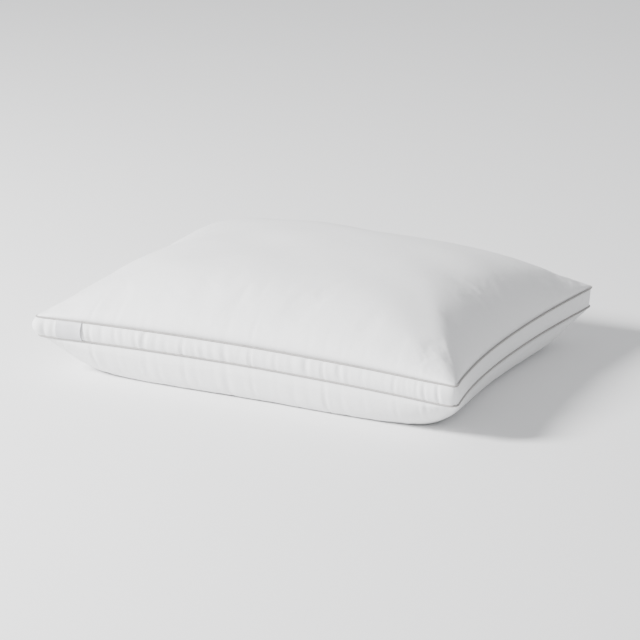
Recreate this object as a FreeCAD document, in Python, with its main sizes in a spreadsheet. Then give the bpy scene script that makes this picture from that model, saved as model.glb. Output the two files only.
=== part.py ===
import FreeCAD, Part
import math
import os
import Sketcher
from FreeCAD import Placement, Rotation, Vector

os.makedirs("parts", exist_ok=True)

# A gusseted bed pillow lying on its bottom panel.
# X along the long side, -Y the front, Z up, origin under the middle of the resting face. Millimetres.
SIZES = [
    ("length", 639),            # gusset, corner to corner along X
    ("width", 482),             # gusset, corner to corner along Y
    ("total_height", 165),      # resting face to crown
    ("seam_height", 54),        # lower piped seam above the resting face
    ("gusset_height", 27),      # lower seam to upper seam
    ("pull_long", 13),          # how far the long sides draw in at their middle
    ("pull_short", 34),         # how far the short sides draw in at their middle
    ("corner_radius", 8),       # gusset corner, seen from above
    ("fabric", 0.8),            # cloth wall
    ("allowance", 10),          # seam allowance turned inside
    ("clearance", 0.3),         # air between neighbouring layers
    ("fill_clearance", 0.5),    # air between cloth and filling
    ("piping_diameter", 2.5),
    ("piping_bore", 1.8),
    ("cord_diameter", 1.4),
    ("thread_diameter", 0.5),
    ("closing_length", 180),    # opening the filling went in by
    ("label_width", 38),
    ("label_thickness", 0.5),
    ("label_from_corner", 54),  # front left corner to the middle of the label
]

# Outlines of a panel from its seam to its crown:
# share of the rise, share of the half width it has moved in, corner radius over half width.
TOP_ROWS = [
    (0.00, 0.000, 0.033),
    (0.12, 0.007, 0.150),
    (0.28, 0.038, 0.300),
    (0.48, 0.100, 0.440),
    (0.68, 0.205, 0.520),
    (0.85, 0.350, 0.500),
    (0.95, 0.500, 0.420),
    (1.00, 0.640, 0.300),
]
BOTTOM_ROWS = [
    (0.00, 0.000, 0.033),
    (0.20, 0.006, 0.110),
    (0.40, 0.018, 0.220),
    (0.60, 0.038, 0.320),
    (0.80, 0.075, 0.400),
    (0.93, 0.125, 0.440),
    (1.00, 0.190, 0.460),
]
LEAST_PULL = 0.06               # share of the pull left at the crown

doc = FreeCAD.newDocument("bed_pillow")
sheet = doc.addObject("Spreadsheet::Sheet", "sizes")
for row, (alias, value) in enumerate(SIZES, start=1):
    sheet.set("A%d" % row, alias)
    sheet.set("B%d" % row, str(value))
    sheet.setAlias("B%d" % row, alias)
doc.recompute()


def size(name):
    """The sheet cell `name`, as it is written in an expression."""
    return "sizes." + name


def number(expression):
    """The value an expression has now."""
    return float(sheet.evalExpression(expression))


HALF_LENGTH = size("length") + " / 2"
HALF_WIDTH = size("width") + " / 2"
LOWER_SEAM = size("seam_height")
UPPER_SEAM = "(%s + %s)" % (size("seam_height"), size("gusset_height"))
LAYER = "(%s + %s)" % (size("fabric"), size("clearance"))
HALF_FABRIC = "%s / 2" % size("fabric")
FLANGE_FACE = "(%s / 2 + %s)" % (size("fabric"), size("clearance"))
CORD_OUTSET = "(%s / 2 + 0.05)" % size("piping_diameter")
TOP_FACE = "%s + %s" % (UPPER_SEAM, FLANGE_FACE)
BOTTOM_FACE = "%s - %s" % (LOWER_SEAM, FLANGE_FACE)
TOP_RISE = "(%s - (%s))" % (size("total_height"), TOP_FACE)
BOTTOM_RISE = "(0 - (%s))" % BOTTOM_FACE
ALLOWANCE_CORNER = "%s * 0.75" % size("corner_radius")


def new_body(name):
    """An empty PartDesign body carrying the sub-part's name."""
    body = doc.addObject("PartDesign::Body", name)
    body.Label = name
    return body


def new_sketch(body, name, role, height="0"):
    """A sketch on one of the body's origin planes, lifted by `height`."""
    sketch = body.newObject("Sketcher::SketchObject", body.Name + "_" + name)
    origin_plane = next(f for f in body.Origin.OriginFeatures if f.Role == role)
    sketch.AttachmentSupport = [(origin_plane, "")]
    sketch.MapMode = "FlatFace"
    sketch.AttachmentOffset = Placement(Vector(0, 0, number(height)), Rotation())
    sketch.setExpression("AttachmentOffset.Base.z", height)
    return sketch


def bind(sketch, constraint, name, expression):
    """Add a constraint and tie it to the sheet."""
    index = sketch.addConstraint(constraint)
    sketch.renameConstraint(index, name)
    sketch.setExpression("Constraints." + name, expression)


def mirrored(point, side_x, side_y):
    return Vector(point.x * side_x, point.y * side_y, 0)


def arc(centre, radius, start, end):
    """Anticlockwise arc about `centre` between the directions of two points."""
    first = math.atan2(start.y - centre.y, start.x - centre.x)
    last = math.atan2(end.y - centre.y, end.x - centre.x)
    return Part.ArcOfCircle(Part.Circle(centre, Vector(0, 0, 1), radius), first, last)


def add_outline(sketch, key, half_length, half_width, pull_long, pull_short, corner, inset):
    """A four-cornered outline with drawn-in sides and round corners, moved in by `inset`."""
    long_radius = "((%s)^2 + (%s)^2) / (2 * (%s))" % (half_length, pull_long, pull_long)
    short_radius = "((%s)^2 + (%s)^2) / (2 * (%s))" % (half_width, pull_short, pull_short)
    long_reach = "%s - %s + %s" % (half_width, pull_long, long_radius)
    short_reach = "%s - %s + %s" % (half_length, pull_short, short_radius)
    long_arc = "%s + %s" % (long_radius, inset)
    short_arc = "%s + %s" % (short_radius, inset)
    long_centre = Vector(0, number(long_reach), 0)
    short_centre = Vector(number(short_reach), 0, 0)
    round_radius = number(corner)
    long_side = number(long_arc)
    short_side = number(short_arc)
    between = short_centre - long_centre
    span = between.Length
    along = ((long_side + round_radius) ** 2 - (short_side + round_radius) ** 2 + span ** 2) / (2 * span)
    across = math.sqrt((long_side + round_radius) ** 2 - along ** 2)
    unit = between / span
    normal = Vector(-unit.y, unit.x, 0)
    foot = long_centre + unit * along
    centre = min(foot + normal * across, foot - normal * across, key=lambda point: point.Length)
    on_long = long_centre + (centre - long_centre) * (long_side / (long_side + round_radius))
    on_short = short_centre + (centre - short_centre) * (short_side / (short_side + round_radius))
    front = mirrored(long_centre, 1, -1)
    left = mirrored(short_centre, -1, 1)
    middle = front + Vector(0, long_side, 0)
    pieces = [
        arc(front, long_side, mirrored(on_long, 1, -1), middle),
        arc(mirrored(centre, 1, -1), round_radius, mirrored(on_long, 1, -1), mirrored(on_short, 1, -1)),
        arc(short_centre, short_side, on_short, mirrored(on_short, 1, -1)),
        arc(centre, round_radius, on_short, on_long),
        arc(long_centre, long_side, mirrored(on_long, -1, 1), on_long),
        arc(mirrored(centre, -1, 1), round_radius, mirrored(on_long, -1, 1), mirrored(on_short, -1, 1)),
        arc(left, short_side, mirrored(on_short, -1, -1), mirrored(on_short, -1, 1)),
        arc(mirrored(centre, -1, -1), round_radius, mirrored(on_short, -1, -1), mirrored(on_long, -1, -1)),
        arc(front, long_side, middle, mirrored(on_long, -1, -1)),
    ]
    first = sketch.addGeometry(pieces, False)[0]
    ends = [(0, 1, 1, 1), (1, 2, 2, 2), (2, 1, 3, 1), (3, 2, 4, 2),
            (4, 1, 5, 1), (5, 2, 6, 2), (6, 1, 7, 1), (7, 2, 8, 2)]
    for one, one_end, other, other_end in ends:
        sketch.addConstraint(Sketcher.Constraint("Tangent", first + one, one_end, first + other, other_end))
    sketch.addConstraint(Sketcher.Constraint("Coincident", first, 2, first + 8, 1))
    sketch.addConstraint(Sketcher.Constraint("Coincident", first, 3, first + 8, 3))
    sketch.addConstraint(Sketcher.Constraint("PointOnObject", first, 2, -2))
    for index, axis in ((0, -2), (4, -2), (2, -1), (6, -1)):
        sketch.addConstraint(Sketcher.Constraint("PointOnObject", first + index, 3, axis))
    front_reach = Sketcher.Constraint("DistanceY", first, 3, -1, 1, long_centre.y)
    back_reach = Sketcher.Constraint("DistanceY", -1, 1, first + 4, 3, long_centre.y)
    right_reach = Sketcher.Constraint("DistanceX", -1, 1, first + 2, 3, short_centre.x)
    left_reach = Sketcher.Constraint("DistanceX", first + 6, 3, -1, 1, short_centre.x)
    bind(sketch, front_reach, key + "_front_reach", long_reach)
    bind(sketch, back_reach, key + "_back_reach", long_reach)
    bind(sketch, right_reach, key + "_right_reach", short_reach)
    bind(sketch, left_reach, key + "_left_reach", short_reach)
    for index, part, expression in ((0, "front", long_arc), (4, "back", long_arc),
                                    (2, "right", short_arc), (6, "left", short_arc)):
        radius = Sketcher.Constraint("Radius", first + index, number(expression))
        bind(sketch, radius, key + "_" + part, expression)
    for index in (1, 3, 5, 7):
        radius = Sketcher.Constraint("Radius", first + index, round_radius)
        bind(sketch, radius, "%s_corner_%d" % (key, index), corner)


def seam_outline(sketch, key, inset, corner):
    """The pillow's own outline moved in by `inset` (out when negative)."""
    add_outline(sketch, key, HALF_LENGTH, HALF_WIDTH, size("pull_long"), size("pull_short"), corner, inset)


def corner_at(inset):
    """Corner radius of the outline after it has moved in by `inset`."""
    return "%s - (%s)" % (size("corner_radius"), inset)


def pad(body, sketch, name, height):
    feature = body.newObject("PartDesign::Pad", body.Name + "_" + name)
    feature.Profile = sketch
    feature.Length = number(height)
    feature.setExpression("Length", height)
    sketch.Visibility = False
    return feature


def ring(body, name, outer, inner, inner_corner, base, height):
    """A flat-sided ring between two outlines, standing on `base`."""
    sketch = new_sketch(body, name + "_outlines", "XY_Plane", base)
    seam_outline(sketch, "outer", outer, corner_at(outer))
    seam_outline(sketch, "inner", inner, inner_corner)
    return pad(body, sketch, name, height)


def flange(body, name, base, inset="0"):
    """Seam allowance: a flat ring one cloth thick, reaching inside from the outline."""
    return ring(body, name, inset, size("allowance"), ALLOWANCE_CORNER, base, size("fabric"))


def add_circle(sketch, key, across, up, diameter):
    """A circle placed by its centre and tied to the sheet."""
    circle = Part.Circle(Vector(number(across), number(up), 0), Vector(0, 0, 1), number(diameter) / 2)
    index = sketch.addGeometry(circle, False)
    bind(sketch, Sketcher.Constraint("DistanceX", -1, 1, index, 3, number(across)), key + "_across", across)
    bind(sketch, Sketcher.Constraint("DistanceY", -1, 1, index, 3, number(up)), key + "_up", up)
    bind(sketch, Sketcher.Constraint("Diameter", index, number(diameter)), key + "_diameter", diameter)


def seam_pipe(body, name, kind, inset, height, diameter):
    """A round section swept along the outline moved in by `inset`, at `height`."""
    path = new_sketch(body, name + "_path", "XY_Plane", height)
    seam_outline(path, "path", inset, corner_at(inset))
    section = new_sketch(body, name + "_section", "YZ_Plane")
    across = "-(%s - %s - (%s))" % (HALF_WIDTH, size("pull_long"), inset)
    add_circle(section, "section", across, height, diameter)
    doc.recompute()
    feature = body.newObject(kind, body.Name + "_" + name)
    feature.Profile = section
    feature.Spine = (path, ["Edge%d" % (edge + 1) for edge in range(9)])
    feature.Mode = "Frenet"
    path.Visibility = False
    section.Visibility = False
    return feature


def dome_outline(body, name, row, start, rise, extra, drop, first):
    """One outline of a domed panel; `extra` moves it in and `drop` brings it back towards the seam."""
    share, moved_in, corner = row
    ends_at_seam = share == 0
    level = first if ends_at_seam else "%s + (%s) * %g - (%s) * %g" % (start, rise, share, drop, share)
    keep = "(1 - %g)" % ((1 - LEAST_PULL) * share)
    half_length = "%s * (1 - %g) - (%s)" % (HALF_LENGTH, moved_in, extra)
    half_width = "%s * (1 - %g) - (%s)" % (HALF_WIDTH, moved_in, extra)
    pull_long = "%s * %s" % (size("pull_long"), keep)
    pull_short = "%s * %s" % (size("pull_short"), keep)
    radius = "%s * %g" % (HALF_WIDTH, corner)
    if ends_at_seam:
        rounder = 1 if first == start else 2.2
        radius = "%s * %g - (%s) * 0.5" % (HALF_WIDTH, corner * rounder, extra)
    sketch = new_sketch(body, name, "XY_Plane", level)
    add_outline(sketch, "outline", half_length, half_width, pull_long, pull_short, radius, "0")
    return sketch


def dome(body, name, kind, rows, start, rise, extra="0", drop="0", first=None):
    """A smooth loft through the outlines listed in `rows`, the first of them at `first`."""
    sections = []
    for index, row in enumerate(rows):
        section = dome_outline(body, "%s_%d" % (name, index), row, start, rise, extra, drop, first or start)
        section.Visibility = False
        sections.append(section)
    doc.recompute()
    feature = body.newObject(kind, body.Name + "_" + name)
    feature.Profile = sections[0]
    feature.Sections = sections[1:]
    return feature


def make_panel(name, rows, seam_face, flange_base, rise, towards_crown):
    """A crowned cloth panel with its seam allowance turned inside."""
    body = new_body(name)
    dome(body, "outside", "PartDesign::AdditiveLoft", rows, seam_face, rise)
    thickness = "%s * %d" % (size("fabric"), towards_crown)
    dome(body, "inside", "PartDesign::SubtractiveLoft", rows, seam_face, rise, size("fabric"), thickness)
    flange(body, "allowance", flange_base, HALF_FABRIC)
    return body


def make_gusset():
    """The side band: one strip with its long edges turned in and its ends joined at the left."""
    body = new_body("gusset_band")
    base = "%s + %s" % (LOWER_SEAM, FLANGE_FACE)
    top = "%s - %s" % (UPPER_SEAM, FLANGE_FACE)
    wall_height = "%s - 2 * %s" % (size("gusset_height"), FLANGE_FACE)
    ring(body, "wall", "0", size("fabric"), corner_at(size("fabric")), base, wall_height)
    flange(body, "lower_allowance", base)
    flange(body, "upper_allowance", "%s - %s" % (top, size("fabric")))
    sketch = new_sketch(body, "ends_outline", "XY_Plane", base)
    left = "-(%s - %s - %s / 2)" % (HALF_LENGTH, size("pull_short"), size("fabric"))
    right = "-(%s - %s - %s)" % (HALF_LENGTH, size("pull_short"), size("allowance"))
    add_rectangle(sketch, "ends", left, right, "-" + size("fabric"), size("fabric"))
    pad(body, sketch, "ends", wall_height)
    return body


def add_rectangle(sketch, key, left, right, near, far):
    """An upright rectangle between four sheet-driven coordinates."""
    x0, x1, y0, y1 = number(left), number(right), number(near), number(far)
    corners = [Vector(x0, y0, 0), Vector(x1, y0, 0), Vector(x1, y1, 0), Vector(x0, y1, 0)]
    lines = [Part.LineSegment(corners[side], corners[(side + 1) % 4]) for side in range(4)]
    first = sketch.addGeometry(lines, False)[0]
    for side in range(4):
        sketch.addConstraint(Sketcher.Constraint("Coincident", first + side, 2, first + (side + 1) % 4, 1))
    for side, kind in enumerate(("Horizontal", "Vertical", "Horizontal", "Vertical")):
        sketch.addConstraint(Sketcher.Constraint(kind, first + side))
    bind(sketch, Sketcher.Constraint("DistanceX", -1, 1, first, 1, x0), key + "_left", left)
    bind(sketch, Sketcher.Constraint("DistanceX", -1, 1, first + 1, 1, x1), key + "_right", right)
    bind(sketch, Sketcher.Constraint("DistanceY", -1, 1, first, 1, y0), key + "_near", near)
    bind(sketch, Sketcher.Constraint("DistanceY", -1, 1, first + 2, 1, y1), key + "_far", far)


def make_piping(name, height):
    """Bias strip folded round a cord: a flat flange in the seam and a sleeve outside it."""
    strip = new_body(name + "_strip")
    base = "%s - %s" % (height, HALF_FABRIC)
    ring(strip, "flange", "-" + size("clearance"), size("allowance"), ALLOWANCE_CORNER, base, size("fabric"))
    outset = "-" + CORD_OUTSET
    seam_pipe(strip, "sleeve", "PartDesign::AdditivePipe", outset, height, size("piping_diameter"))
    seam_pipe(strip, "bore", "PartDesign::SubtractivePipe", outset, height, size("piping_bore"))
    cord = new_body(name + "_cord")
    seam_pipe(cord, "cord", "PartDesign::AdditivePipe", outset, height, size("cord_diameter"))
    return strip, cord


def make_seam_thread(name, height):
    """The line of stitching that holds the layers of one seam."""
    body = new_body(name)
    inset = "%s * 0.5" % size("corner_radius")
    seam_pipe(body, "stitching", "PartDesign::AdditivePipe", inset, height, size("thread_diameter"))
    return body


def make_join_thread():
    """The short stitched line that joins the two ends of the side band."""
    body = new_body("gusset_join_thread")
    base = "%s + %s + %s" % (LOWER_SEAM, FLANGE_FACE, LAYER)
    sketch = new_sketch(body, "outline", "XY_Plane", base)
    across = "-(%s - %s - %s / 2)" % (HALF_LENGTH, size("pull_short"), size("allowance"))
    up = "%s + %s + %s / 2" % (size("fabric"), size("clearance"), size("thread_diameter"))
    add_circle(sketch, "thread", across, up, size("thread_diameter"))
    pad(body, sketch, "thread", "%s - 2 * %s - 2 * %s" % (size("gusset_height"), FLANGE_FACE, LAYER))
    return body


def add_band(sketch, key, reach, outer, inner, half_angle, turn):
    """A slice of a ring centred behind the back or in front of the front, tied to the sheet."""
    centre = Vector(0, number(reach), 0)
    lean, half = math.radians(number(turn)), math.radians(number(half_angle))
    facing = math.pi / 2 if centre.y < 0 else -math.pi / 2
    low, high = facing + lean - half, facing + lean + half
    point = lambda radius, angle: centre + Vector(radius * math.cos(angle), radius * math.sin(angle), 0)
    big, small = number(outer), number(inner)
    circle = lambda radius: Part.Circle(centre, Vector(0, 0, 1), radius)
    pieces = [Part.ArcOfCircle(circle(big), low, high), Part.LineSegment(point(big, high), point(small, high)),
              Part.ArcOfCircle(circle(small), low, high), Part.LineSegment(point(small, low), point(big, low))]
    first = sketch.addGeometry(pieces, False)[0]
    for one, one_end, other, other_end in ((0, 2, 1, 1), (1, 2, 2, 2), (2, 1, 3, 1), (3, 2, 0, 1)):
        sketch.addConstraint(Sketcher.Constraint("Coincident", first + one, one_end, first + other, other_end))
    sketch.addConstraint(Sketcher.Constraint("Coincident", first, 3, first + 2, 3))
    sketch.addConstraint(Sketcher.Constraint("PointOnObject", first, 3, -2))
    bind(sketch, Sketcher.Constraint("DistanceY", -1, 1, first, 3, centre.y), key + "_reach", reach)
    bind(sketch, Sketcher.Constraint("Radius", first, big), key + "_outer", outer)
    bind(sketch, Sketcher.Constraint("Radius", first + 2, small), key + "_inner", inner)


LONG_RADIUS = "((%s)^2 + (%s)^2) / (2 * (%s))" % (HALF_LENGTH, size("pull_long"), size("pull_long"))
LONG_REACH = "(%s - %s + %s)" % (HALF_WIDTH, size("pull_long"), LONG_RADIUS)


def make_label():
    """A blank woven label lying on the front of the side band, between the two piped seams."""
    body = new_body("woven_label")
    margin = "%s * 0.68" % size("piping_diameter")
    sketch = new_sketch(body, "outline", "XY_Plane", "%s + %s" % (LOWER_SEAM, margin))
    outer = "%s - %s" % (LONG_RADIUS, size("clearance"))
    inner = "%s - %s" % (outer, size("label_thickness"))
    half_angle = "%s / 2 / (%s) * 57.29578" % (size("label_width"), LONG_RADIUS)
    turn = "(%s - %s) / (%s) * 57.29578" % (HALF_LENGTH, size("label_from_corner"), LONG_RADIUS)
    add_band(sketch, "label", "-" + LONG_REACH, outer, inner, half_angle, turn)
    pad(body, sketch, "label", "%s - 2 * %s" % (size("gusset_height"), margin))
    return body


def make_closing_thread():
    """Stitching that closes the opening at the back, in the groove under the lower piping."""
    body = new_body("closing_thread")
    out = "%s + %s / 2" % (size("clearance"), size("thread_diameter"))
    below = "%s - %s / 2 - %s - %s" % (LOWER_SEAM, size("piping_diameter"), size("clearance"), size("thread_diameter"))
    path = new_sketch(body, "path", "XY_Plane", below)
    centre = Vector(0, number(LONG_REACH), 0)
    radius = "%s - (%s)" % (LONG_RADIUS, out)
    half = number(size("closing_length")) / 2 / number(radius)
    curve = Part.ArcOfCircle(Part.Circle(centre, Vector(0, 0, 1), number(radius)),
                             -math.pi / 2 - half, -math.pi / 2 + half)
    path.addGeometry(curve, False)
    path.addConstraint(Sketcher.Constraint("PointOnObject", 0, 3, -2))
    path.addConstraint(Sketcher.Constraint("Symmetric", 0, 1, 0, 2, -2))
    bind(path, Sketcher.Constraint("DistanceY", -1, 1, 0, 3, centre.y), "reach", LONG_REACH)
    bind(path, Sketcher.Constraint("Radius", 0, number(radius)), "radius", radius)
    chord = Sketcher.Constraint("DistanceX", 0, 1, 0, 2, number(size("closing_length")))
    bind(path, chord, "chord", size("closing_length"))
    doc.recompute()
    section = body.newObject("Sketcher::SketchObject", body.Name + "_section")
    section.AttachmentSupport = [(path, "Edge1")]
    section.MapMode = "NormalToEdge"
    section.addGeometry(Part.Circle(Vector(0, 0, 0), Vector(0, 0, 1), number(size("thread_diameter")) / 2), False)
    section.addConstraint(Sketcher.Constraint("Coincident", 0, 3, -1, 1))
    diameter = Sketcher.Constraint("Diameter", 0, number(size("thread_diameter")))
    bind(section, diameter, "diameter", size("thread_diameter"))
    doc.recompute()
    feature = body.newObject("PartDesign::AdditivePipe", body.Name + "_stitching")
    feature.Profile = section
    feature.Spine = (path, ["Edge1"])
    feature.Mode = "Frenet"
    return body


def make_fill():
    """The fibre filling: crowned above and below, stepped back where the seam allowances sit."""
    body = new_body("fibre_fill")
    skin = "(%s + %s)" % (size("fabric"), size("fill_clearance"))
    groove = "(%s + %s)" % (size("allowance"), size("fill_clearance"))
    above = "(%s + %s + %s + %s)" % (FLANGE_FACE, LAYER, size("thread_diameter"), size("fill_clearance"))
    below = "(%s + %s + %s)" % (FLANGE_FACE, size("fabric"), size("fill_clearance"))
    levels = [
        ("lower_groove", groove, ALLOWANCE_CORNER, "%s - %s" % (LOWER_SEAM, above), "%s + %s" % (above, below)),
        ("belt", skin, corner_at(skin), "%s + %s" % (LOWER_SEAM, below),
         "%s - 2 * %s" % (size("gusset_height"), below)),
        ("upper_groove", groove, ALLOWANCE_CORNER, "%s - %s" % (UPPER_SEAM, below), "%s + %s" % (above, below)),
    ]
    for name, inset, radius, base, height in levels:
        sketch = new_sketch(body, name + "_outline", "XY_Plane", base)
        seam_outline(sketch, "outline", inset, radius)
        pad(body, sketch, name, height)
    upper = "%s + %s" % (UPPER_SEAM, above)
    dome(body, "upper", "PartDesign::AdditiveLoft", TOP_ROWS, TOP_FACE, TOP_RISE, skin, skin, upper)
    lower = "%s - %s" % (LOWER_SEAM, above)
    dome(body, "lower", "PartDesign::AdditiveLoft", BOTTOM_ROWS, BOTTOM_FACE, BOTTOM_RISE, skin, "-" + skin, lower)
    notch = new_sketch(body, "join_room", "XY_Plane", LOWER_SEAM)
    room = "%s + %s + 2 * %s" % (size("fabric"), size("thread_diameter"), size("fill_clearance"))
    left = "-(%s - %s)" % (HALF_LENGTH, size("pull_short"))
    right = "%s + %s + %s" % (left, size("allowance"), size("fill_clearance"))
    add_rectangle(notch, "room", left, right, "-(%s)" % room, room)
    pocket = body.newObject("PartDesign::Pocket", "fibre_fill_join_room_cut")
    pocket.Profile = notch
    pocket.Length = number(size("gusset_height"))
    pocket.setExpression("Length", size("gusset_height"))
    pocket.Reversed = True
    return body


def build():
    """Every sub-part of the pillow, outermost first."""
    stitch = "%s + %s + %s / 2" % (FLANGE_FACE, LAYER, size("thread_diameter"))
    parts = [
        make_panel("top_panel", TOP_ROWS, TOP_FACE, TOP_FACE, TOP_RISE, 1),
        make_gusset(),
        make_panel("bottom_panel", BOTTOM_ROWS, BOTTOM_FACE, BOTTOM_FACE + " - " + size("fabric"), BOTTOM_RISE, -1),
    ]
    for name, height in (("top_piping", UPPER_SEAM), ("bottom_piping", LOWER_SEAM)):
        parts.extend(make_piping(name, height))
    parts.append(make_seam_thread("top_seam_thread", "%s + %s" % (UPPER_SEAM, stitch)))
    parts.append(make_seam_thread("bottom_seam_thread", "%s - (%s)" % (LOWER_SEAM, stitch)))
    parts.append(make_join_thread())
    parts.append(make_closing_thread())
    parts.append(make_label())
    parts.append(make_fill())
    return parts


parts = build()
doc.recompute()
for item in doc.Objects:
    if "Invalid" in item.State or "Error" in item.State:
        raise RuntimeError("%s did not compute: %s" % (item.Name, item.State))
for part in parts:
    shape = part.Shape
    if shape.isNull() or not shape.isValid() or len(shape.Solids) != 1:
        raise RuntimeError("%s is not one valid solid" % part.Label)
    box = shape.BoundBox
    print("%-20s %8.2f cm3  x %.1f..%.1f  y %.1f..%.1f  z %.1f..%.1f" % (
        part.Label, shape.Volume / 1000, box.XMin, box.XMax, box.YMin, box.YMax, box.ZMin, box.ZMax))
    shape.exportStep(os.path.join("parts", part.Label + ".step"))
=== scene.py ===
"""A gusseted bed pillow: two crowned panels, a side band, corded piping, a label and a fibre filling."""

import bmesh
import bpy
import numpy as np
from mathutils import Matrix, Vector


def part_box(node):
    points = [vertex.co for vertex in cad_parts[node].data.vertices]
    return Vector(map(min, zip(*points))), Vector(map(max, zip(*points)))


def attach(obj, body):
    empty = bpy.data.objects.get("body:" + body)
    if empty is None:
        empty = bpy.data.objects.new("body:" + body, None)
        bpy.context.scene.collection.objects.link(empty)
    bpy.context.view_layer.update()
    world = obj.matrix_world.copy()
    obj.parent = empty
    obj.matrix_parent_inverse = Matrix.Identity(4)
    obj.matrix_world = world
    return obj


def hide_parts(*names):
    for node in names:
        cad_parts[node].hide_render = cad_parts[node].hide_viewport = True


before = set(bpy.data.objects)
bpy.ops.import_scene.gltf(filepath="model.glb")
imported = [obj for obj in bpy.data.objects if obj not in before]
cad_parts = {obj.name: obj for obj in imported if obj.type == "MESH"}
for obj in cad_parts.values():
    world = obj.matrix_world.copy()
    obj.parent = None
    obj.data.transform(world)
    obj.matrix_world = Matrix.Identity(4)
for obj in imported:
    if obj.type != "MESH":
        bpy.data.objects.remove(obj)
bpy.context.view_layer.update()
rng = np.random.default_rng(26)

# ---------------------------------------------------------------- the pillow's own sizes, in metres
BAND_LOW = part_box("bottom_piping_strip")
BAND_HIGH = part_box("top_piping_strip")
PIPING = (BAND_LOW[1][2] - BAND_LOW[0][2]) / 2            # radius of the finished piping
BAND = BAND_HIGH[0][2] - BAND_LOW[0][2]                   # lower seam to upper seam
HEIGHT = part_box("top_panel")[1][2]
HALF_X = BAND_LOW[1][0] - 2 * PIPING + 0.0030
HALF_Y = BAND_LOW[1][1] - 2 * PIPING + 0.0030
CLOTH = 0.0005
CORNER_LIFT = (0.056, 0.051, 0.055, 0.062)                # lower seam: front left, front right, back right, back left
SIDE_LIFT = (0.002, -0.013, 0.002, -0.009)                # seam at mid front, right, back, left against its corners
SIDE_PULL = (0.013, 0.034, 0.015, 0.030)                  # how far those sides draw in at their middle
CORNER_TUCK = (1.0, 0.9, 0.8, 0.9)                        # how far the underside is tucked up at those corners
CROWN_POWER, CROWN_ROUND = 2.52, 0.52
BASE_POWER, BASE_ROUND = 10.0, 0.5
COLUMNS, ROWS = 241, 181                                  # panel grid
FORM_COLUMNS, FORM_ROWS = 97, 73                          # coarse grid for the cloth simulation
BAND_LINES = 19                                           # grid lines across the side band
SETTLING_FRAMES = 22
LONGEST_MOVE = 0.007                                      # no point of the cover settles further than this
TOP_FOLDS, BOTTOM_FOLDS, BAND_FOLDS = 0.0013, 0.0030, 0.0054  # depth of the gathers in each cloth
CORD_RADIUS, SEAM_THREAD, CLOSING_THREAD = 0.0007, 0.00025, 0.00022
SEAM_INSET = 0.0042                                       # stitching inward of the seam's edge
LABEL_WIDTH, LABEL_THICKNESS, LABEL_COLUMNS = 0.039, 0.0004, 41
LABEL_FROM = -HALF_X + 0.036
JOIN_POINTS = 60
CLOSING_STEPS, CLOSING_POINTS, CLOSING_TURNS = 34, 361, 36  # grid steps each way, points along it, stitches


def spread(count):
    """Even steps from -1 to 1, drawn closer together towards both ends: t times (1.2 - 0.2 t squared)."""
    t = np.linspace(-1, 1, count)
    return t * (1.2 - 0.2 * t ** 2)


def mix(u, v, front, right, back, left):
    """A value for each side, felt most at the middle of that side and gone at its corners."""
    return ((1 - u ** 2) * ((1 - v) / 2 * front + (1 + v) / 2 * back)
            + (1 - v ** 2) * ((1 + u) / 2 * right + (1 - u) / 2 * left))


def seam_height(u, v):
    """Lower seam: corner heights blended straight between corners, plus each side's own rise or dip."""
    fl, fr, br, bl = CORNER_LIFT
    corners = ((1 - u) * (1 - v) * fl + (1 + u) * (1 - v) * fr + (1 + u) * (1 + v) * br + (1 - u) * (1 + v) * bl) / 4
    return corners + mix(u, v, *SIDE_LIFT)


def plan(u, v, easing=0.0034):
    """Seen from above: a rectangle whose sides draw in as parabolas, with its corners eased round."""
    front, right, back, left = SIDE_PULL
    ease = easing * np.abs(u) ** 50 * np.abs(v) ** 38
    pull_x = np.where(u > 0, right, left) * (1 - v ** 2) * u ** 2
    pull_y = np.where(v > 0, back, front) * (1 - u ** 2) * v ** 2
    return u * (HALF_X - pull_x - ease), v * (HALF_Y - pull_y - ease)


def crown(u, v, power, roundness):
    """(1 - |u| to a power) times (1 - |v| to that power), all to a lower power, so it leaves the seam upright."""
    full = (1 - np.abs(u) ** power).clip(0) * (1 - np.abs(v) ** power).clip(0)
    return full ** roundness


def top_form(u, v):
    """Upper panel: from the upper seam to the crown by the crown rule."""
    x, y = plan(u, v)
    seam = seam_height(u, v) + BAND
    rise = (HEIGHT - seam) * crown(u, v, CROWN_POWER, CROWN_ROUND)
    return np.stack([x, y, seam + rise + shoulder_ridge(x, y)], axis=-1)


def shoulder_ridge(x, y):
    """A soft ridge running in from the front right corner: a bell curve across a slanting line,
    rising over its first third and fading out by its end."""
    reach = (x - HALF_X) * -0.557 + (y + HALF_Y) * 0.830
    off = (x - HALF_X) * 0.830 + (y + HALF_Y) * 0.557
    share = (reach / 0.26).clip(0, 1)
    return 0.0032 * np.exp(-(off / 0.020) ** 2) * np.sin(np.pi * share ** 0.6) ** 1.2


def bottom_form(u, v):
    """Lower panel: falls from the lower seam by a squarer crown rule, less at its tucked-up corners,
    and turns flat where it rests."""
    x, y = plan(u, v, 0.0060)
    fl, fr, br, bl = CORNER_TUCK
    tuck = ((1 - u) * (1 - v) * fl + (1 + u) * (1 - v) * fr + (1 + u) * (1 + v) * br + (1 - u) * (1 + v) * bl) / 4
    left = 1 - 1.22 * crown(u, v, BASE_POWER, BASE_ROUND) * (1 - tuck * u ** 4 * v ** 4)
    eased = (left + np.sqrt(left ** 2 + 0.004)) / 2 - 0.006
    return np.stack([x, y, seam_height(u, v) * eased.clip(0)], axis=-1)


def rim(grid):
    """The four edges of a (columns, rows, ...) grid as one anticlockwise loop from the front left corner."""
    return np.concatenate([grid[:-1, 0], grid[-1, :-1], grid[:0:-1, -1], grid[0, :0:-1]])


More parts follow.
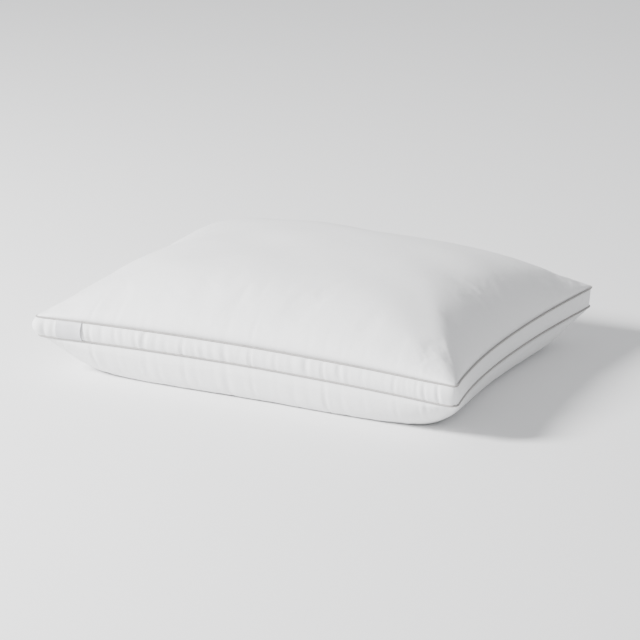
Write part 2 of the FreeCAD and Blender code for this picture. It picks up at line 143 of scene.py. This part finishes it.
# ---------------------------------------------------------------- meshes from arrays
def make_mesh(name, points, faces, uv=None):
    mesh = bpy.data.meshes.new(name)
    mesh.from_pydata(points.reshape(-1, 3), [], faces.tolist())
    if uv is not None:
        layer = mesh.uv_layers.new(name="cloth")
        corners = np.empty(len(mesh.loops), dtype=np.int32)
        mesh.loops.foreach_get("vertex_index", corners)
        layer.data.foreach_set("uv", uv.reshape(-1, 2)[corners].ravel())
    mesh.polygons.foreach_set("use_smooth", np.ones(len(mesh.polygons), dtype=bool))
    mesh.update()
    thing = bpy.data.objects.new(name, mesh)
    bpy.context.scene.collection.objects.link(thing)
    return thing


def grid_faces(across, along, wrap_across=False, wrap_along=False):
    """Quads of an (across, along) grid of points, joined end to end where asked."""
    i = np.arange(across if wrap_across else across - 1)
    j = np.arange(along if wrap_along else along - 1)
    i, j = np.meshgrid(i, j, indexing="ij")
    i1, j1 = (i + 1) % across, (j + 1) % along
    return np.stack([i * along + j, i1 * along + j, i1 * along + j1, i * along + j1], axis=-1).reshape(-1, 4)


def thicken(thing, depth, offset=-1.0):
    wall = thing.modifiers.new("cloth wall", "SOLIDIFY")
    wall.thickness = depth
    wall.offset = offset
    wall.use_even_offset = False
    return thing


def grid_normals(points):
    """Unit normals of a surface grid from its two sets of grid lines."""
    normal = np.cross(np.gradient(points, axis=0), np.gradient(points, axis=1))
    return normal / np.linalg.norm(normal, axis=-1, keepdims=True).clip(1e-12)


def loop_frame(loop):
    """Tangent, outward direction and running length along a closed, anticlockwise loop."""
    tangent = np.roll(loop, -1, axis=0) - np.roll(loop, 1, axis=0)
    tangent /= np.linalg.norm(tangent, axis=1, keepdims=True)
    outward = np.stack([tangent[:, 1], -tangent[:, 0], 0 * tangent[:, 2]], axis=1)
    outward /= np.linalg.norm(outward, axis=1, keepdims=True)
    steps = np.linalg.norm(np.roll(loop, -1, axis=0) - loop, axis=1)
    return tangent, outward, np.concatenate([[0], np.cumsum(steps)[:-1]])


def carry(name, path, sides, up, outline, closed=True):
    """A profile carried along a path: each path point plus the outline's two amounts along `sides` and `up`.

    On an open path the profile shrinks to one point at both ends, which closes them.
    """
    full = np.ones(len(path))
    if not closed:
        full[[0, -1]] = 0.0
        full[[1, -2]] = 0.7
    outline_at = full[:, None, None] * outline[None]
    points = path[:, None] + sides[:, None] * outline_at[..., :1] + up[:, None] * outline_at[..., 1:]
    length = np.concatenate([[0], np.cumsum(np.linalg.norm(np.diff(path, axis=0), axis=1))])
    girth = np.linspace(0, 1, len(outline)) * 0.008
    uv = np.stack(np.broadcast_arrays(length[:, None], girth[None, :]), axis=-1)
    faces = grid_faces(len(path), len(outline), wrap_across=closed, wrap_along=True)
    carried = make_mesh(name, points, faces, uv)
    if not closed:
        tips = bmesh.new()
        tips.from_mesh(carried.data)
        bmesh.ops.remove_doubles(tips, verts=tips.verts, dist=1e-7)
        tips.to_mesh(carried.data)
        tips.free()
    return carried


def ring_outline(radius, count):
    turn = np.linspace(0, 2 * np.pi, count, endpoint=False)
    return radius * np.stack([np.cos(turn), np.sin(turn)], axis=1)


# ---------------------------------------------------------------- cloth simulation of the filled cover
def settle():
    """The whole cover as one coarse closed mesh, swollen by inside pressure while its seams draw up.

    Returns how far each coarse panel point moved: (top, bottom), each (columns, rows, 3).
    """
    u, v = np.meshgrid(spread(FORM_COLUMNS), spread(FORM_ROWS), indexing="ij")
    top, bottom = top_form(u, v), bottom_form(u, v)
    count = FORM_COLUMNS * FORM_ROWS
    index = np.arange(count).reshape(FORM_COLUMNS, FORM_ROWS)
    upper, lower = rim(index), rim(index) + count
    middle = np.arange(len(upper)) + 2 * count
    belt = (rim(top) + rim(bottom)) / 2
    points = np.concatenate([top.reshape(-1, 3), bottom.reshape(-1, 3), belt])
    top_faces = grid_faces(FORM_COLUMNS, FORM_ROWS)
    bottom_faces = top_faces[:, ::-1] + count
    strips = []
    for low, high in ((lower, middle), (middle, upper)):
        strips.append(np.stack([low, np.roll(low, -1), np.roll(high, -1), high], axis=-1))
    cover = make_mesh("cover_form", points, np.concatenate([top_faces, bottom_faces, *strips]))
    seam = cover.vertex_groups.new(name="seam")
    seam.add([int(i) for i in np.concatenate([upper, lower])], 1.0, "REPLACE")
    cloth = cover.modifiers.new("Cloth", "CLOTH")
    rules = cloth.settings
    rules.quality = 6
    rules.mass = 0.15
    rules.tension_stiffness = 30
    rules.compression_stiffness = 12
    rules.shear_stiffness = 8
    rules.bending_stiffness = 0.25
    rules.use_pressure = True
    rules.uniform_pressure_force = 3.0
    rules.vertex_group_shrink = "seam"
    rules.shrink_min = 0.0
    rules.shrink_max = 0.04
    rules.effector_weights.gravity = 0.0
    cloth.collision_settings.use_collision = False
    cloth.collision_settings.use_self_collision = False
    cloth.point_cache.frame_start = 1
    cloth.point_cache.frame_end = SETTLING_FRAMES + 2
    for frame_number in range(1, SETTLING_FRAMES + 1):
        bpy.context.scene.frame_set(frame_number)
    done = cover.evaluated_get(bpy.context.evaluated_depsgraph_get())
    after = np.empty(len(points) * 3, dtype=np.float32)
    done.data.vertices.foreach_get("co", after)
    moved = after.reshape(-1, 3).astype(float) - points
    bpy.context.scene.frame_set(1)
    shape = cover.data
    bpy.data.objects.remove(cover)
    bpy.data.meshes.remove(shape)
    return (moved[:count].reshape(FORM_COLUMNS, FORM_ROWS, 3),
            moved[count:2 * count].reshape(FORM_COLUMNS, FORM_ROWS, 3))


def refine_axis(values, fine):
    """Smooth cubic interpolation of coarse samples at `fine` evenly spread places along axis 0."""
    place = np.linspace(0, values.shape[0] - 1, fine)
    i = np.clip(place.astype(int), 0, values.shape[0] - 2)
    t = (place - i).reshape(-1, *([1] * (values.ndim - 1)))
    before, after = values[np.clip(i - 1, 0, None)], values[np.clip(i + 2, None, values.shape[0] - 1)]
    here, there = values[i], values[i + 1]
    return here + 0.5 * t * (there - before + t * (2 * before - 5 * here + 4 * there - after
                                                   + t * (3 * (here - there) + after - before)))


def refine(values):
    """A coarse panel field brought to the fine panel grid."""
    return refine_axis(refine_axis(values, COLUMNS).swapaxes(0, 1), ROWS).swapaxes(0, 1)


def cap(moves, limit):
    """Shortens each move towards `limit`: a move times limit over (limit plus its length)."""
    length = np.linalg.norm(moves, axis=-1, keepdims=True)
    return moves * (limit / (limit + length))


def keep_corners(moves):
    """Takes the four corners' own moves away again, blended straight across the panel between them."""
    u, v = np.meshgrid(np.linspace(0, 1, moves.shape[0]), np.linspace(0, 1, moves.shape[1]), indexing="ij")
    u, v = u[..., None], v[..., None]
    return moves - ((1 - u) * (1 - v) * moves[0, 0] + u * (1 - v) * moves[-1, 0]
                    + (1 - u) * v * moves[0, -1] + u * v * moves[-1, -1])


# ---------------------------------------------------------------- gathers along the seams
SIDES = ("front", "right", "back", "left")
SIDE_LENGTH = {"front": 2 * HALF_X, "right": 2 * HALF_Y, "back": 2 * HALF_X, "left": 2 * HALF_Y}
GATHER = {"front": 1.0, "right": 0.16, "back": 0.9, "left": 0.35}


def gathers(side):
    """Places, widths, depths, reaches and slants of the small folds along one side's seams."""
    steps = rng.uniform(0.010, 0.026, 80)
    place = np.cumsum(steps) - SIDE_LENGTH[side] / 2
    place = place[place < SIDE_LENGTH[side] / 2 - 0.012]
    width = rng.uniform(0.0018, 0.0044, len(place))
    depth = rng.uniform(0.3, 1.0, len(place)) ** 1.8 * 1.25 * GATHER[side]
    reach = rng.uniform(0.006, 0.020, len(place))
    slant = rng.uniform(-0.16, 0.16, len(place))
    lean = rng.uniform(-1, 1, len(place))
    return place, width, depth, reach, slant, lean


FOLDS = {side: gathers(side) for side in SIDES}


def crease(distance, width):
    """A narrow valley with a soft lip each side: a bell curve less a wider, weaker one."""
    near = np.exp(-(distance / width) ** 2)
    return near - 0.45 * np.exp(-(distance / (2.6 * width)) ** 2)


def panel_gathers(points, depth_scale):
    """How deep the folds cut into a panel: each fold's valley fades out with distance from its seam."""
    x, y = points[..., 0], points[..., 1]
    total = np.zeros(x.shape)
    middle_row, middle_column = x.shape[1] // 2, x.shape[0] // 2
    for side in SIDES:
        place, width, depth, reach, slant, lean = FOLDS[side]
        along_x = side in ("front", "back")
        edge = 0 if side in ("front", "left") else -1
        line = x[:, edge] if along_x else y[edge, :]
        depth_in = np.abs(y[middle_column] - y[middle_column, edge]) if along_x else np.abs(
            x[:, middle_row] - x[edge, middle_row])
        strength = depth * (0.25 + 0.75 * rng.random(len(place)) ** 2)
        across = crease(line[:, None] - place[None], width[None] * 1.3) * strength[None]
        fade = np.exp(-depth_in[:, None] / reach[None]) * (1 - np.exp(-depth_in[:, None] / 0.0015))
        field = across @ fade.T
        total += field if along_x else field.T
    return total * depth_scale


def surface_swell(points, seed, strength):
    """Slow unevenness of the filling: a sum of long sine waves in several directions."""
    draw = np.random.default_rng(seed)
    total = np.zeros(points.shape[:-1])
    for _ in range(14):
        angle, wave, phase = draw.uniform(0, np.pi), draw.uniform(0.09, 0.26), draw.uniform(0, 2 * np.pi)
        travel = points[..., 0] * np.cos(angle) + points[..., 1] * np.sin(angle)
        total += np.sin(2 * np.pi * travel / wave + phase) * wave
    return total * strength


# ---------------------------------------------------------------- the two panels
u_grid, v_grid = np.meshgrid(spread(COLUMNS), spread(ROWS), indexing="ij")
top = top_form(u_grid, v_grid)
bottom = bottom_form(u_grid, v_grid)
top_move, bottom_move = settle()
top = top + refine(keep_corners(cap(top_move, LONGEST_MOVE)))
bottom = bottom + refine(keep_corners(cap(bottom_move, LONGEST_MOVE)))
above_seam = (top[..., 2] - BAND - seam_height(u_grid, v_grid)).clip(0)
top[..., 2] -= (top[..., 2].max() - HEIGHT - 0.001) * above_seam / above_seam.max()
top = top + grid_normals(top) * ((1 - u_grid ** 4) * (1 - v_grid ** 4) * surface_swell(top, 5, 0.0024))[..., None]
top = top - grid_normals(top) * panel_gathers(top, TOP_FOLDS)[..., None]
bottom = bottom + grid_normals(bottom) * panel_gathers(bottom, BOTTOM_FOLDS)[..., None]
bottom[..., 2] = (bottom[..., 2] + np.sqrt(bottom[..., 2] ** 2 + 1e-6)) / 2
bottom[..., 2] -= bottom[..., 2].min()
upper_loop, lower_loop = rim(top), rim(bottom)
inside_seam = np.minimum(1 - np.abs(u_grid), 1 - np.abs(v_grid))[..., None]
seam_gap = 0.0005 * np.exp(-inside_seam / 0.01) * np.array([0.0, 0.0, 1.0])
flat_uv = np.stack([u_grid * 0.330, v_grid * 0.255], axis=-1)

top_panel = thicken(make_mesh("top_cloth", top + seam_gap, grid_faces(COLUMNS, ROWS), flat_uv), CLOTH)
bottom_faces = grid_faces(COLUMNS, ROWS)[:, ::-1]
bottom_panel = make_mesh("bottom_cloth", bottom - seam_gap * (bottom[..., 2:] > 0.02), bottom_faces, flat_uv)
thicken(bottom_panel, CLOTH)

# ---------------------------------------------------------------- the side band
tangent, outward, run = loop_frame((upper_loop + lower_loop) / 2)
side_of = np.concatenate([np.full(COLUMNS - 1, 0), np.full(ROWS - 1, 1), np.full(COLUMNS - 1, 2), np.full(ROWS - 1, 3)])


def band_surface():
    """Straight from lower to upper seam, bulged outward as a half sine, less the gathers' slanting valleys."""
    rise = np.linspace(0, 1, BAND_LINES)[None, :, None]
    low = lower_loop + [0, 0, 0.0005]
    high = upper_loop - [0, 0, 0.0005]
    flat = low[:, None] * (1 - rise) + high[:, None] * rise
    bulge = np.array([0.0042, 0.0022, 0.0042, 0.0028])[side_of][:, None] * np.sin(np.pi * rise[..., 0]) ** 0.8
    corner = np.zeros(len(run))
    for start, held in zip((0, COLUMNS - 1, COLUMNS + ROWS - 2, 2 * COLUMNS + ROWS - 3), (-1.0, 0.7, 0.9, 0.5)):
        away = np.abs(run - run[start])
        corner += held * np.exp(-(np.minimum(away, run[-1] - away) / 0.012) ** 2)
    bulge = bulge * (1 - corner)[:, None]
    valley = np.zeros(bulge.shape)
    for number, side in enumerate(SIDES):
        place, width, depth, reach, slant, lean = FOLDS[side]
        here = side_of == number
        spot = lower_loop[here][:, 0 if side in ("front", "back") else 1]
        rise_line = np.linspace(0, 1, BAND_LINES)
        shifted = place[None, None] + (rise_line[None, :, None] - 0.5) * slant * BAND
        across = crease(spot[:, None, None] - shifted, width[None, None])
        upright = 0.55 + 0.45 * lean[None] * (2 * rise_line[:, None] - 1)
        valley[here] += (across * (depth[None] * upright)[None]).sum(axis=-1)
    held = np.sin(np.pi * np.linspace(0, 1, BAND_LINES)) ** 0.45
    return flat + outward[:, None] * (bulge - BAND_FOLDS * valley * held[None])[..., None]


band = band_surface()
band_uv = np.stack(np.broadcast_arrays(run[:, None], np.linspace(0, BAND, BAND_LINES)[None]), axis=-1)
band_faces = grid_faces(len(run), BAND_LINES, wrap_across=True)
gusset = thicken(make_mesh("gusset_cloth", band, band_faces, band_uv), CLOTH)

# ---------------------------------------------------------------- piping, with its cord inside
UP = np.array([0.0, 0.0, 1.0])


def sleeve_outline():
    """A round sleeve whose two cloth layers close together into a flat flange that runs into the seam."""
    turn = np.radians(np.linspace(-164, 164, 19))
    sleeve = np.stack([PIPING * np.cos(turn), PIPING * np.sin(turn)], axis=1)
    return np.concatenate([[[-0.0105, -0.0003], [-0.004, -0.0003]], sleeve, [[-0.004, 0.0003], [-0.0105, 0.0003]]])


piping, cords, seams = {}, {}, {}
for level, loop in (("top", upper_loop), ("bottom", lower_loop)):
    along, out, length = loop_frame(loop)
    up = np.cross(out, along)
    up *= np.sign(up[:, 2:])
    proud = np.array([0.15, 0.75, 0.3, 0.6])[side_of]
    for _ in range(12):
        proud = (np.roll(proud, 1) + 2 * proud + np.roll(proud, -1)) / 4
    centre = loop + out * PIPING * proud[:, None]
    piping[level] = carry(level + "_piping_sleeve", centre, out, up, sleeve_outline())
    cords[level] = carry(level + "_piping_filler", centre, out, up, ring_outline(CORD_RADIUS, 8))
    stitch = np.sin(2 * np.pi * length / 0.0032)[:, None]
    line = loop - out * SEAM_INSET + UP * (0.0007 if level == "top" else -0.0007) + UP * 0.0003 * stitch
    seams[level] = carry(level + "_seam_stitching", line, out, up, ring_outline(SEAM_THREAD, 6))

# ---------------------------------------------------------------- joins and closing
left_middle = COLUMNS + ROWS + COLUMNS - 3 + (ROWS - 1) // 2
foot, head = lower_loop[left_middle], upper_loop[left_middle]
climb = np.linspace(0.12, 0.88, JOIN_POINTS)[:, None]
join_line = foot * (1 - climb) + head * climb - outward[left_middle] * 0.005
join_line = join_line + tangent[left_middle] * (0.0007 * np.sin(climb * 50))
steady = np.ones((JOIN_POINTS, 1))
join_thread = carry("gusset_join_stitching", join_line, outward[left_middle] * steady, -tangent[left_middle] * steady,
                    ring_outline(SEAM_THREAD, 6), closed=False)

back_middle = COLUMNS + ROWS - 2 + (COLUMNS - 1) // 2
spots = np.linspace(back_middle - CLOSING_STEPS, back_middle + CLOSING_STEPS, CLOSING_POINTS)
numbered = np.arange(len(lower_loop))
closing_path = np.stack([np.interp(spots, numbered, lower_loop[:, axis]) for axis in range(3)], axis=1)
closing_steady = np.ones((CLOSING_POINTS, 1))
closing_out = outward[back_middle] * closing_steady
whip = np.linspace(0, CLOSING_TURNS * 2 * np.pi, CLOSING_POINTS)[:, None]
closing_path = closing_path + closing_out * (0.0006 + 0.0005 * np.cos(whip)) + UP * (-0.0017 + 0.0009 * np.sin(whip))
closing = carry("closing_stitching", closing_path, closing_out, UP * closing_steady,
                ring_outline(CLOSING_THREAD, 6), closed=False)

# ---------------------------------------------------------------- blank woven label on the front of the band

def label_surface():
    """Part of the side band, smoothed and moved outward, its free right edge lifting by a steep power."""
    along_front = lower_loop[:COLUMNS - 1, 0]
    wanted = np.linspace(LABEL_FROM, LABEL_FROM + LABEL_WIDTH, LABEL_COLUMNS)
    calm = band[:COLUMNS - 1].copy()
    for _ in range(14):
        calm[1:-1] = (calm[:-2] + 2 * calm[1:-1] + calm[2:]) / 4
    picked = np.stack([[np.interp(wanted, along_front, calm[:, line, axis]) for line in range(BAND_LINES)]
                       for axis in range(3)], axis=-1).swapaxes(0, 1)
    share = np.linspace(0, 1, LABEL_COLUMNS)[:, None]
    line = np.linspace(0, 1, BAND_LINES)[None]
    lift = 0.0013 + 0.0014 * share ** 10 * np.sin(np.pi * line) + 0.0004 * (1 - share) ** 12
    lift = lift * (0.35 + 0.65 * np.sin(np.pi * line) ** 0.5)
    picked[..., 1] -= lift
    return picked


label_points = label_surface()
label_uv = np.stack(np.broadcast_arrays(np.linspace(0, LABEL_WIDTH, LABEL_COLUMNS)[:, None],
                                        np.linspace(0, BAND, BAND_LINES)[None]), axis=-1)
label = thicken(make_mesh("blank_label", label_points, grid_faces(LABEL_COLUMNS, BAND_LINES), label_uv),
                LABEL_THICKNESS, 1.0)

# ---------------------------------------------------------------- fibre filling
every_other = slice(None, None, 2)


def filling_surface():
    """Both panels' surfaces moved inside by 3 mm with a lumpy unevenness and drawn in near the seams, returned as two
    layers for joining.
    """
    layers = []
    for surface, side, seed in ((top, 1, 11), (bottom, -1, 12)):
        sheet_points = surface[every_other, every_other]
        near_edge = np.maximum(np.abs(u_grid), np.abs(v_grid))[every_other, every_other, None] ** 10
        lumps = 0.0008 * (1 + np.sin(sheet_points[..., :1] * 190 + seed) * np.sin(sheet_points[..., 1:2] * 170))
        moved = sheet_points - side * grid_normals(sheet_points) * (0.003 + lumps)
        moved[..., :2] *= 1 - 0.034 * near_edge
        moved[..., 2:] += -side * 0.004 * (1 - near_edge) * near_edge
        layers.append(moved)
    return layers


filling_top, filling_bottom = filling_surface()
columns, rows = filling_top.shape[:2]
numbers = np.arange(columns * rows).reshape(columns, rows)
high_rim, low_rim = rim(numbers), rim(numbers) + columns * rows
belt = (rim(filling_top) + rim(filling_bottom)) / 2
belt_numbers = np.arange(len(belt)) + 2 * columns * rows
belt = belt + loop_frame(belt)[1] * 0.006
quads = grid_faces(columns, rows)
belt_quads = [np.stack([low, np.roll(low, -1), np.roll(high, -1), high], axis=-1)
              for low, high in ((low_rim, belt_numbers), (belt_numbers, high_rim))]
filling_points = np.concatenate([filling_top.reshape(-1, 3), filling_bottom.reshape(-1, 3), belt])
filling = make_mesh("fibre_batt", filling_points,
                    np.concatenate([quads, quads[:, ::-1] + columns * rows, *belt_quads]))


# ---------------------------------------------------------------- materials
class Finish:
    """A cloth material built node by node, with short helpers for the links between them."""

    def __init__(self, name, colour, roughness, sheen=0.0):
        self.material = bpy.data.materials.new(name)
        self.material.use_nodes = True
        self.tree = self.material.node_tree
        self.shader = self.tree.nodes["Principled BSDF"]
        self.shader.inputs["Base Color"].default_value = (*colour, 1)
        self.shader.inputs["Roughness"].default_value = roughness
        self.shader.inputs["Sheen Weight"].default_value = sheen
        self.shader.inputs["Sheen Roughness"].default_value = 0.4
        self.shader.inputs["Specular IOR Level"].default_value = 0.3
        self.colour = colour
        self.place = self.tree.nodes.new("ShaderNodeTexCoord")
        self.height = None

    def node(self, kind, **values):
        made = self.tree.nodes.new(kind)
        for key, value in values.items():
            setattr(made, key, value)
        return made

    def link(self, start, end):
        self.tree.links.new(start, end)

    def threads(self, pitch, direction):
        """Ribs a thread apart along one direction of the cloth."""
        wave = self.node("ShaderNodeTexWave", wave_type="BANDS", bands_direction=direction)
        wave.inputs["Scale"].default_value = 0.314 / pitch
        wave.inputs["Distortion"].default_value = 0.6
        wave.inputs["Detail"].default_value = 1.0
        wave.inputs["Detail Scale"].default_value = 2.0
        self.link(self.place.outputs["UV"], wave.inputs["Vector"])
        return wave.outputs["Fac"]

    def cloud(self, scale, detail=3.0):
        """Soft noise over the piece; a higher scale makes finer patches."""
        noise = self.node("ShaderNodeTexNoise")
        noise.inputs["Scale"].default_value = scale
        noise.inputs["Detail"].default_value = detail
        self.link(self.place.outputs["Object"], noise.inputs["Vector"])
        return noise.outputs["Fac"]

    def bump(self, field, strength, distance):
        """Adds a height field on top of those already there."""
        relief = self.node("ShaderNodeBump")
        relief.inputs["Strength"].default_value = strength
        relief.inputs["Distance"].default_value = distance
        self.link(field, relief.inputs["Height"])
        if self.height is not None:
            self.link(self.height, relief.inputs["Normal"])
        self.height = relief.outputs["Normal"]
        self.link(self.height, self.shader.inputs["Normal"])

    def both(self, first, second):
        """Two fields put together by one sum."""
        joined = self.node("ShaderNodeMath", operation="ADD")
        self.link(first, joined.inputs[0])
        self.link(second, joined.inputs[1])
        return joined.outputs[0]

    def vary_colour(self, field, darker, low=0.3, high=0.7):
        """The cloth's colour, darkened to `darker` of itself where the field is low."""
        ramp = self.node("ShaderNodeValToRGB")
        ramp.color_ramp.elements[0].position = low
        ramp.color_ramp.elements[1].position = high
        ramp.color_ramp.elements[0].color = (*[part * darker for part in self.colour], 1)
        ramp.color_ramp.elements[1].color = (*self.colour, 1)
        self.link(field, ramp.inputs["Fac"])
        self.link(ramp.outputs["Color"], self.shader.inputs["Base Color"])

    def vary_roughness(self, field, low, high):
        spread_node = self.node("ShaderNodeMapRange")
        spread_node.inputs["To Min"].default_value = low
        spread_node.inputs["To Max"].default_value = high
        self.link(field, spread_node.inputs["Value"])
        self.link(spread_node.outputs["Result"], self.shader.inputs["Roughness"])


def plain_weave(name, colour, roughness, sheen, pitch, darker, crinkle):
    """Cotton in plain weave: two sets of ribs, slow unevenness in colour and a soft crinkle."""
    cloth = Finish(name, colour, roughness, sheen)
    warp = cloth.threads(pitch, "X")
    weft = cloth.threads(pitch, "Y")
    weave = cloth.both(warp, weft)
    patchy = cloth.cloud(9.0, 4.0)
    cloth.vary_colour(cloth.both(patchy, cloth.cloud(170.0, 2.0)), darker, 0.75, 1.25)
    cloth.vary_roughness(patchy, roughness - 0.06, roughness + 0.06)
    cloth.bump(weave, 0.35, 0.00004)
    cloth.bump(cloth.cloud(95.0, 3.0), crinkle, 0.0006)
    cloth.bump(cloth.cloud(24.0, 3.0), crinkle, 0.0022)
    return cloth.material


def twisted_cord(name, colour):
    """Twisted cotton: ribs that climb round the cord, with painted shade darkening the grooves between them."""
    cord = Finish(name, colour, 0.85)
    ribs = cord.threads(0.0009, "DIAGONAL")
    # painted shade: the cord's colour is darkened where the rib relief is low, in the grooves of the twist
    cord.vary_colour(ribs, 0.8, 0.2, 0.8)
    cord.bump(ribs, 0.6, 0.0002)
    return cord.material


def sewing_thread(name, colour):
    """Polyester thread: fine diagonal twist with a slight shine, and painted shade darkening the grooves of the twist.
    """
    thread = Finish(name, colour, 0.45, 0.1)
    ribs = thread.threads(0.0005, "DIAGONAL")
    # painted shade: the thread's colour is darkened where the rib relief is low, in the grooves of the twist
    thread.vary_colour(ribs, 0.85, 0.2, 0.8)
    thread.bump(ribs, 0.5, 0.00008)
    return thread.material


def label_satin(name, colour):
    """Woven satin ribbon: fine crosswise ribs and a faint lengthwise sheen; its colour darkens partly as painted shade
    in the rib grooves and partly in random patches.
    """
    satin = Finish(name, colour, 0.42, 0.15)
    ribs = satin.threads(0.0005, "X")
    floats = satin.threads(0.0011, "Y")
    # colour darkened partly as painted shade in the rib grooves (same field as the rib bump) and partly as random tone
    # from the noise
    satin.vary_colour(satin.both(ribs, satin.cloud(60.0)), 0.9, 0.6, 1.4)
    satin.vary_roughness(floats, 0.36, 0.5)
    satin.bump(ribs, 0.4, 0.00006)
    satin.bump(floats, 0.3, 0.00005)
    return satin.material


def fibre_batting(name, colour):
    """Carded fibre: tangled fine strands over soft lumps, with painted shade darkening the low places between the
    strands.
    """
    fibre = Finish(name, colour, 0.95, 0.3)
    strands = fibre.cloud(420.0, 8.0)
    # painted shade: the batting's colour is darkened where the strand relief is low, between the strands
    fibre.vary_colour(strands, 0.82, 0.35, 0.6)
    fibre.bump(strands, 0.8, 0.0008)
    fibre.bump(fibre.cloud(40.0, 4.0), 0.7, 0.004)
    return fibre.material


WHITE = (0.85, 0.85, 0.852)
panel_cloth = plain_weave("panel_cotton", WHITE, 0.62, 0.12, 0.0004, 0.975, 0.10)
band_cloth = plain_weave("gusset_cotton", WHITE, 0.62, 0.12, 0.0004, 0.975, 0.14)
piping_cloth = plain_weave("piping_cloth", (0.36, 0.345, 0.335), 0.6, 0.15, 0.0003, 0.85, 0.1)
cord_cotton = twisted_cord("filler_cord", (0.72, 0.70, 0.64))
thread_white = sewing_thread("sewing_thread", (0.78, 0.78, 0.77))
ribbon = label_satin("label_satin", (0.66, 0.66, 0.68))
batting = fibre_batting("fibre_batting", (0.86, 0.86, 0.85))


def belongs(piece, material, slot, *nodes):
    """Dress a piece, let it ride on the pillow's one body and stand for its CAD nodes."""
    piece.data.materials.append(material)
    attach(piece, "root")
    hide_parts(*nodes)


belongs(top_panel, panel_cloth, "panel_cotton", "top_panel")
belongs(bottom_panel, panel_cloth, "panel_cotton", "bottom_panel")
belongs(gusset, band_cloth, "gusset_cotton", "gusset_band")
for level in ("top", "bottom"):
    belongs(piping[level], piping_cloth, "piping_cloth", level + "_piping_strip")
    belongs(cords[level], cord_cotton, "filler_cord", level + "_piping_cord")
    belongs(seams[level], thread_white, "sewing_thread", level + "_seam_thread")
belongs(join_thread, thread_white, "sewing_thread", "gusset_join_thread")
belongs(closing, thread_white, "sewing_thread", "closing_thread")
belongs(label, ribbon, "label_satin", "woven_label")
belongs(filling, batting, "fibre_batting", "fibre_fill")

# ---------------------------------------------------------------- floor, light and camera
floor = make_mesh("floor", np.array([[-9, -6, 0], [9, -6, 0], [9, 14, 0], [-9, 14, 0]], dtype=float),
                  np.array([[0, 1, 2, 3]]))
paper = Finish("pale_floor", (0.90, 0.90, 0.90), 0.8)
paper.vary_colour(paper.cloud(3.0), 0.99)
floor.data.materials.append(paper.material)


def soft_light(name, place, aim, size, power):
    lamp = bpy.data.lights.new(name, "AREA")
    lamp.shape = "DISK"
    lamp.size = size
    lamp.energy = power
    holder = bpy.data.objects.new(name, lamp)
    bpy.context.scene.collection.objects.link(holder)
    holder.location = place
    holder.rotation_euler = (Vector(aim) - Vector(place)).to_track_quat("-Z", "Y").to_euler()


soft_light("window", (-2.3, -2.0, 2.0), (0, 0, 0.05), 1.0, 410)
world = bpy.data.worlds.new("studio")
bpy.context.scene.world = world
world.use_nodes = True
world.node_tree.nodes["Background"].inputs["Color"].default_value = (0.97, 0.98, 1.0, 1)
world.node_tree.nodes["Background"].inputs["Strength"].default_value = 0.76

turn, tilt, away = np.radians(26.8), np.radians(17.6), 3.687
back = Vector((np.sin(turn) * np.cos(tilt), -np.cos(turn) * np.cos(tilt), np.sin(tilt)))
right = Vector((np.cos(turn), np.sin(turn), 0))
above = back.cross(right)
eye = bpy.data.cameras.new("camera")
eye.lens = 146.3
eye.sensor_width = 36
camera = bpy.data.objects.new("camera", eye)
bpy.context.scene.collection.objects.link(camera)
turned = Matrix((right, above, back)).transposed().to_4x4()
aim = Vector((0, 0, 0.010)) + above * 0.0425 + right * 0.0014
camera.matrix_world = Matrix.Translation(aim + back * away) @ turned
bpy.context.scene.camera = camera
